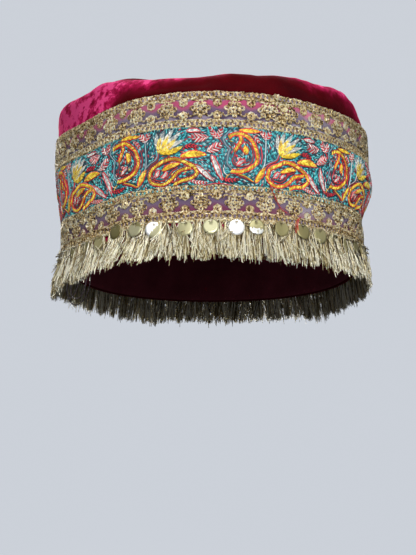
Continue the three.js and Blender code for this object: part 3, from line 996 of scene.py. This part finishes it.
# %% Ground stitches
def ground_stitches(seed):
    """Ground stitches of one repeat: places, angles and colours."""
    throw = np.random.default_rng(seed)
    tries = np.column_stack([
        throw.uniform(0, MOTIF_PITCH, GROUND_TRIES), throw.uniform(GROUND_LOW, GROUND_HIGH, GROUND_TRIES)
    ])
    far = np.zeros(GROUND_TRIES)
    heading = np.zeros(GROUND_TRIES)
    for start in range(0, GROUND_TRIES, TRIES_AT_ONCE):
        part = slice(start, start + TRIES_AT_ONCE)
        distance = np.linalg.norm(tries[part, None] - chart_points[None], axis=2) - chart_width[None]
        nearest = distance.argmin(1)
        far[part] = distance.min(1)
        heading[part] = np.arctan2(chart_along[nearest, 1], chart_along[nearest, 0])
    heading += throw.normal(0, 0.12, GROUND_TRIES)
    kept = np.zeros((0, 2))
    kept_heading = np.zeros(0)
    for place, angle in zip(tries[far > 0], heading[far > 0]):
        gap = kept - place
        gap[:, 0] = (gap[:, 0] + MOTIF_PITCH / 2) % MOTIF_PITCH - MOTIF_PITCH / 2
        c = math.cos(angle)
        s = math.sin(angle)
        lengthwise = np.abs(gap[:, 0] * c + gap[:, 1] * s)
        sideways = np.abs(-gap[:, 0] * s + gap[:, 1] * c)
        if not ((lengthwise < GROUND_LENGTH * 0.72) & (sideways < GROUND_WIDTH * 0.6)).any():
            kept = np.vstack([kept, place])
            kept_heading = np.append(kept_heading, angle)
    chance = throw.random(len(kept))
    colour = np.full(len(kept), COLOUR_NAMES.index("turquoise"))
    for limit, name in ((0.36, "teal"), (0.25, "grey"), (0.18, "maroon"), (0.11, "red"), (0.05, "white")):
        colour[chance < limit] = COLOUR_NAMES.index(name)
    body = inside(kept, PAISLEY_BODIES[0]) | inside(kept, PAISLEY_BODIES[1])
    for limit, name in ((0.46, "maroon"), (0.34, "white"), (0.2, "red"), (0.04, "yellow")):
        colour[body & (chance < limit)] = COLOUR_NAMES.index(name)
    return kept, kept_heading, colour

# %% Band pieces
variants = [ground_stitches(seed) for seed in (3, 8, 14)]
print("ground stitches a repeat:", len(variants[0][0]))
half_repeats = int(ROUND // MOTIF_PITCH) // 2 + 1
band_end = ROUND / 2 - 0.6
ground_parts = []
motif_parts = []
outlines = []
for k in range(2 * half_repeats + 1):
    start = (k - half_repeats) * MOTIF_PITCH
    spots, heading, colour = variants[k % 3]
    s = spots[:, 0] + start
    keep = np.abs(s) < band_end
    n = keep.sum()
    if n:
        level = rng.normal(0.98, 0.05, n)
        angle = heading[keep] + rng.normal(0, 0.06, n)
        ground_parts.append(np.column_stack([s[keep], spots[keep, 1], level, angle, colour[keep]]))
    made, threads = motif_stitches(start)
    made = made[np.abs(made[:, 0]) < band_end]
    made[:, 3] += rng.normal(0, 0.13, len(made))
    motif_parts.append(made)
    outlines += [thread for thread in threads if np.abs(thread[2][:, 0]).max() < band_end]
ground = np.vstack(ground_parts)
motifs = np.vstack(motif_parts)
teal = finishes[COLOUR_NAMES.index("teal")]
cloth = piece(
    "embroidered_cloth_strip", strip(25.1, 53.2, 0.3, 0.5), [teal], ["embroidered_band"]
)
ground_mesh = stitches(
    ground[:, :3], ground[:, 3], np.full(len(ground), GROUND_LENGTH), np.full(len(ground), GROUND_WIDTH), 0.5,
    ground[:, 4].astype(int),
)
motif_mesh = stitches(
    motifs[:, :3], motifs[:, 3], motifs[:, 4], motifs[:, 5], 0.85, motifs[:, 6].astype(int), 3
)
outline_mesh = join([
    (thread_mesh([line for t, r, line in outlines if (t, r) == (tone, radius)], radius), tone)
    for tone, radius in sorted({(tone, radius) for tone, radius, line in outlines})
])
needlework = [
    piece(name, wrap(mesh), finishes) for name, mesh in (
        ("band_ground_stitches", ground_mesh), ("band_motif_stitches", motif_mesh),
        ("band_outline_threads", outline_mesh),
    )
]

# %% [markdown]
# ## The fringe
# The fringe is a narrow braid with thousands of floss ends hanging from it. The ends stick together
# in locks, each leaning its own way. Left of the middle is an untidy stretch with thinner locks that
# lean further. Near the braid the floss's colour is painted darker, as painted shade where the strands shade
# one another.

# %% Fringe finish
floss, tree, shader = new_material("floss silk fringe with metal lustre", Metallic=0.35, Roughness=0.36)
height = add_node(tree, "ShaderNodeSeparateXYZ", Vector=object_place(tree)).outputs["Z"]
# painted shade: the colour is darkened towards the braid, by up to 0.28 of the tone
painted_shade = add_node(
    tree, "ShaderNodeMapRange", Value=height, From_Min=-0.006, From_Max=0.007, To_Min=0.0, To_Max=0.28
).outputs["Result"]
tone = scaled(tree, painted_shade, -1, own_tone(tree))
paint(tree, shader, tone, (0.0, "#382C14"), (0.2, "#8A7642"), (0.44, "#DECFA0"), (0.66, "#FFFCEA"))

# %% Fringe strands
LOCKS = 176
STRANDS_PER_LAYER = (36, 30)
HEADING_HEIGHT = 7.2
STRAND_LENGTH = 20.5
FRINGE_FLARE = 2.6
STRAND_RADIUS = 0.16
RAGGED = 0.16
# place and spread of the stretch where the locks are untidy, and how far they lean there
UNTIDY = (-48, 24)
UNTIDY_LEAN = 4.5
# angle, spread, extra length, extra flare
FRINGE_TUFTS = [(-76, 8, 5, 1.2), (130, 8, 3, 0.8), (-150, 9, 2, 0.5)]
for layer, per_lock in enumerate(STRANDS_PER_LAYER):
    strands = []
    for lock in range(LOCKS):
        centre = (lock + 0.2 * layer + rng.normal(0, 0.15)) / LOCKS * ROUND - ROUND / 2
        angle = float(np.interp(centre, tape_lengths, tape_angles))
        longer = sum(more * bell(turn(a, angle), spread) for a, spread, more, flare in FRINGE_TUFTS)
        flare = FRINGE_FLARE + sum(f * bell(turn(a, angle), spread) for a, spread, more, f in FRINGE_TUFTS)
        untidy = bell(centre - UNTIDY[0], UNTIDY[1])
        lean = rng.normal(0, 1.2 + untidy) + 3.4 * noise.noise(Vector((centre / 13, layer * 7, 3)))
        lean -= UNTIDY_LEAN * untidy
        longer += 3.5 * noise.noise(Vector((centre / 9, layer * 5, 8))) - 1.6 * untidy
        fan = rng.uniform(0.8, 2.6)
        body = rng.normal(0, 0.5)
        thin = rng.random() < 0.55 * untidy
        for _ in range(per_lock // 3 if thin else per_lock):
            root = rng.uniform(-0.25, 0.25)
            length = (STRAND_LENGTH + longer) * (1 - abs(rng.normal(0, RAGGED))) + (rng.random() < 0.06) * 2
            side = rng.normal(0, fan) + (rng.random() < 0.07) * rng.normal(0, 5)
            wave = rng.normal(0, 0.5)
            t = np.array([0, 0.3, 0.65, 1])
            s = centre + root + side * t**0.8 + lean * t**1.6 + wave * np.sin(t * 5)
            h = HEADING_HEIGHT - length * t / (1 + 0.02 * side * side * t)
            out = 0.9 + layer * 0.8 + rng.uniform(0, 0.5) + (body + rng.normal(0, 0.5)) * t + flare * t**1.4
            strands.append(np.column_stack([s, h, out]))
    name = ("fringe_strands_under", "fringe_strands_over")[layer]
    piece(name, wrap(thread_mesh(strands, STRAND_RADIUS)), [floss], ["gold_thread_fringe"])

# %% Fringe heading
BRAID_TURNS = 130
BRAID_THREAD = 0.38
braid = []
s = np.linspace(-ROUND / 2, ROUND / 2, 950)
for phase in (0, 2.1, 4.2):
    swing = s / ROUND * math.tau * BRAID_TURNS + phase
    braid.append(np.column_stack([s, 6.9 + 0.5 * np.sin(swing), 1.7 + 0.25 * np.cos(swing)]))
piece("fringe_heading_braid", wrap(thread_mesh(braid, BRAID_THREAD)), [gold])

# %% [markdown]
# ## Sequins
# Each sequin is a thin round of plated metal with one hole near its top, held by a stitch through
# it, so it hangs loosely and tilts its own way. A few are bent. Each sequin, and the bent part of a
# bent one, also has a painted reflection in its colour, from dull khaki to white, for the way it faces the
# light.

# %% Sequin finish
plate, tree, shader = new_material("plated sequin, punched brass", Metallic=0.45, Roughness=0.42)
flat = add_node(tree, "ShaderNodeUVMap", {"uv_map": "tone"}).outputs["UV"]
tone = add_node(tree, "ShaderNodeSeparateXYZ", Vector=flat).outputs["X"]
# painted reflection: the tone paints each face from dull khaki to a white glint
paint(tree, shader, tone, (0.0, "#6C6434"), (0.4, "#A8A070"), (0.75, "#DCE0C8"), (1.0, "#FFFFFF"))

# %% Sequins
SEQUIN_COUNT = 46
SEQUIN_RADIUS = 3.9
SEQUIN_HOLE = 0.4
SEQUIN_SIDES = 28
SEQUIN_THICKNESS = 0.22
SEQUIN_HEIGHT = 3.3
# how far out those at the front hang, and the rest
SEQUIN_OUT = 3.4
SEQUIN_OUT_REST = 2.3
# place along the tape, lift, painted reflection tone (0 dull khaki, 1 white) and sideways tilt of those at
# the front
FRONT_SEQUINS = [
    (-51.8, 3.0, 0.1, 0.2), (-39.4, 1.6, 0.5, 0.1), (-29, 0, 0.5, -0.1), (-12.9, -0.5, 0.46, 0.05),
    (-0.3, 0, 0.5, 0.05), (12.3, 0, 1, 0), (22.4, 0.6, 0.42, 0.05), (35.6, 0.7, 0.4, -0.1),
    (48.3, 0.9, 0.3, 0), (59.8, 0.4, 0.42, 0.1),
]
# bent sequins: the direction of the bent part, where it starts, its painted reflection tone and how steeply
# it stands
BENT_SEQUINS = {2: (2.4, 0.2, 1.0, 0.35), 6: (-1.7, 0.8, 0.95, 0.3), 1: (1.2, 1.6, 0.3, 0.2)}
rest = SEQUIN_COUNT - len(FRONT_SEQUINS)
last = FRONT_SEQUINS[-1][0]
free = ROUND + FRONT_SEQUINS[0][0] - last
# the rest get a random painted reflection tone, from dull khaki to pale khaki
sequin_places = FRONT_SEQUINS + [
    (last + free * (k + 1) / (rest + 1), rng.normal(0, 0.5), 0.5 * rng.random(), rng.normal(0, 0.12))
    for k in range(rest)
]


def sequin(number, centre, lift, tone, lean):
    """One sequin, modelled flat and bent, with a painted reflection tone for each of its faces."""
    bm = bmesh.new()
    bmesh.ops.create_circle(bm, cap_ends=False, segments=SEQUIN_SIDES, radius=SEQUIN_RADIUS)
    hole = bmesh.ops.create_circle(bm, cap_ends=False, segments=SEQUIN_SIDES, radius=SEQUIN_HOLE)["verts"]
    bmesh.ops.translate(bm, verts=hole, vec=(0, SEQUIN_RADIUS - 1.3, 0))
    bmesh.ops.bridge_loops(bm, edges=bm.edges[:])
    spokes = [e for e in bm.edges if (e.verts[0] in hole) != (e.verts[1] in hole)]
    bmesh.ops.subdivide_edges(bm, edges=spokes, cuts=3, use_grid_fill=False)
    fold = rng.normal(0, 0.008)
    slope = rng.uniform(0, math.pi)
    tip = rng.normal(0.1, 0.06)
    toward, start, bent_reflection, steep = BENT_SEQUINS.get(number, (0, SEQUIN_RADIUS, tone, 0))
    way = Vector((math.cos(toward), math.sin(toward), 0))
    # each face keeps its painted reflection tone as a texture coordinate, and the bent part has its own
    layer = bm.loops.layers.uv.new("tone")
    for face in bm.faces:
        for loop in face.loops:
            loop[layer].uv = (bent_reflection if face.calc_center_median().dot(way) > start else tone, 0)
    level = SEQUIN_OUT if number < len(FRONT_SEQUINS) else SEQUIN_OUT_REST
    for vert in bm.verts:
        x, y, z = vert.co
        across = x * math.cos(slope) + y * math.sin(slope)
        bent = max(vert.co.dot(way) - start, 0) * steep
        z = fold * across**2 * 2 + (y - SEQUIN_RADIUS) * -tip + x * lean + bent
        vert.co = (centre + x, SEQUIN_HEIGHT + lift + y, level + z)
    return to_mesh(bm, "sequin")


mesh = wrap(join([(sequin(number, *values), 0) for number, values in enumerate(sequin_places)]))
piece("sequins", thicken(mesh, SEQUIN_THICKNESS), [plate], ["sequin_row"])

# %% [markdown]
# ## Tangled ends
# Above every sequin a few cream loops of the sewing thread stand out from the ribbon's edge, and more
# of them lie all along the fringe's heading. Some snags of red thread hang over the lower ribbon, and
# some loops of dark thread under the fringe on the left.

# %% Sewing threads
LOOPS_PER_SEQUIN = 4
HEADING_LOOPS = 320
LOOP_THREAD = 0.16
loops = []
for centre, lift, tone, lean in sequin_places:
    top = SEQUIN_HEIGHT + lift + SEQUIN_RADIUS - 1.2
    loops.append(trace([(centre, top - 0.5, SEQUIN_OUT + 0.7), (centre, top + 1.6, SEQUIN_OUT + 0.1)], 1))
    for _ in range(LOOPS_PER_SEQUIN):
        wide = rng.uniform(0.5, 1.1)
        tall = rng.uniform(0.7, 1.5)
        x = centre + rng.normal(0, 0.35)
        loops.append(trace([
            (x - wide, top + tall, 1.4), (x - wide * 0.5, top + 0.1, SEQUIN_OUT + 0.75),
            (x + wide * 0.5, top + rng.normal(0, 0.2), SEQUIN_OUT + 0.8), (x + wide, top + tall, 1.4),
        ], 0.8))
for _ in range(HEADING_LOOPS):
    s = rng.uniform(-ROUND / 2 + 3, ROUND / 2 - 3)
    h = rng.normal(HEADING_HEIGHT, 0.6)
    reach = rng.normal(0, 1.4)
    out = rng.uniform(1.8, 2.6)
    loops.append(trace([
        (s, h + 0.8, 1.2), (s + reach * 0.4, h + rng.normal(0.2, 0.5), out),
        (s + reach, h - rng.uniform(0, 1.8), out + 0.4), (s + reach * 1.5, h - rng.uniform(-0.4, 2.2), out),
    ], 1.3))
piece("sewing_thread_loops", wrap(thread_mesh(loops, LOOP_THREAD)), [floss])

# %% Red and dark threads
# colour number, radius, lines
LOOSE_SEWING = [
    (0, 0.24, [
        [(30.4, 25.6, 2), (33.4, 18.5, 2.4), (36.5, 14.2, 2.3), (39.6, 13.0, 2.1)],
        [(48.1, 12.0, 2), (44.6, 8.6, 3), (43.5, 2.8, 4.2)],
        [(46.5, 10.2, 2.2), (45.2, 7.2, 3.2), (44.9, 4.4, 4)],
        [(-4, 24.4, 1.8), (3, 25.4, 2.1), (10, 24.6, 1.9)],
    ]),
    (1, 0.26, [
        [(-94, -9, 3), (-92, -16, 4.5), (-86, -23, 5), (-78, -25.5, 5), (-71.5, -22.5, 4.8), (-69, -16, 4),
         (-70, -7, 3)],
        [(-90, -10, 3), (-87, -18, 4.4), (-80, -22, 5), (-74, -20, 4.6), (-72, -11, 3.4)],
        [(-76, -7, 3), (-79, -14, 4.2), (-83, -20, 4.8), (-90, -21, 5)],
    ]),
]
dark_thread = thread_finish("dark sewing thread", "#1C1418", "#30242A", "#46383E")
red_thread = finishes[COLOUR_NAMES.index("red")]
mesh = join([
    (thread_mesh([trace(line, 0.8) for line in lines], radius), colour)
    for colour, radius, lines in LOOSE_SEWING
])
piece("loose_sewing_threads", wrap(mesh), [red_thread, dark_thread])

# %% [markdown]
# A handful of fringe strands have worked loose and lie across the others.

# %% Loose strands
LOOSE_STRANDS = [
    [(-43.5, -3.0), (-38.1, -11.8)], [(-35.7, -4.2), (-37.3, -12.0)], [(-28.9, -6.5), (-23.5, -6.0)],
    [(-16.7, -2.0), (-24.3, -8.0), (-25.8, -13.2)], [(-18.9, -7.2), (-15.1, -6.0)],
    [(-49, 1), (-42, -9), (-40, -14)], [(-24, -2), (-33, -10)], [(-12, -1), (-4, -12)], [(4, -3), (-3, -14)],
]
MORE_STRANDS = 90
LOOSE_RADIUS = 0.18
lines = [trace([(s, h, 5.0 + 0.12 * k) for k, (s, h) in enumerate(line)], 1.2) for line in LOOSE_STRANDS]
for _ in range(MORE_STRANDS):
    s = rng.uniform(-ROUND / 2 + 12, ROUND / 2 - 12)
    h = rng.uniform(-6, 3)
    slant = rng.normal(0, 5)
    end = h - rng.uniform(5, 9)
    lines.append(trace([(s, h, 4.4), (s + slant * 0.6, h - 4, 5.2), (s + slant, end, 5.6)], 1.5))
loose_floss = thread_finish("floss silk, loose ends", "#A89A68", "#DCD2A4", "#FFFBE6", 0.4)
piece("loose_fringe_strands", wrap(thread_mesh(lines, LOOSE_RADIUS)), [loose_floss])

# %% [markdown]
# The velvet is held stretched over the cap's shape. It was cut as a long band and a round.

# %% [markdown]
# ## Stage and light
# A pale floor well below the cap and a pale surround. Soft windows above, at the left and behind
# light the cap, and a small window in front with a narrow spread leaves both its sides darker.

# %% Stage
FLOOR_LEVEL = -0.31
STAGE_RADIUS = 5.9
paper = new_material(
    "lit paper floor", Base_Color=linear("#303030"), Emission_Color=linear("#C6CAD0"),
    Emission_Strength=1.0, Roughness=1.0,
)[0]
surround = new_material(
    "lit paper surround", Base_Color=linear("#000000"), Emission_Color=linear("#CBD0D8"),
    Emission_Strength=1.0,
)[0]


def stage_form(name, bm, material):
    """A part of the stage, which lends the cap no light or reflection."""
    form = add_object(name, to_mesh(bm, name))
    form.data.materials.append(material)
    form.visible_diffuse = False
    form.visible_glossy = False
    return form


bm = bmesh.new()
bmesh.ops.create_circle(bm, cap_ends=True, segments=64, radius=STAGE_RADIUS)
bmesh.ops.translate(bm, verts=bm.verts, vec=(0, 0, FLOOR_LEVEL))
floor = stage_form("floor", bm, paper)
bm = bmesh.new()
bmesh.ops.create_uvsphere(bm, u_segments=48, v_segments=24, radius=STAGE_RADIUS)
dome = stage_form("surround", bm, surround)
dome.visible_shadow = False

world = bpy.data.worlds.new("studio")
bpy.context.scene.world = world
world.use_nodes = True
background = world.node_tree.nodes["Background"]
background.inputs["Color"].default_value = linear("#E4E8F0")
background.inputs["Strength"].default_value = 0.12


def soft_light(name, place, aim, size, power, spread=180):
    data = bpy.data.lights.new(name, "AREA")
    data.spread = math.radians(spread)
    data.shape = "DISK"
    data.size = size
    data.energy = power
    light = add_object(name, data)
    light.location = place
    light.rotation_euler = (Vector(aim) - Vector(place)).to_track_quat("-Z", "Y").to_euler()


soft_light("overhead", (0.0, 0.45, 1.1), (0, 0, 0.05), 0.8, 12)
soft_light("window_left", (-1.3, 0.3, 0.9), (0, 0, 0.04), 0.8, 2.4)
soft_light("back_window", (-0.5, 1.6, 0.4), (0, 0, 0.03), 0.9, 24)
soft_light("front_window", (0.13, -1.6, 0.24), (0.005, 0, 0.03), 0.16, 0.165, spread=11)
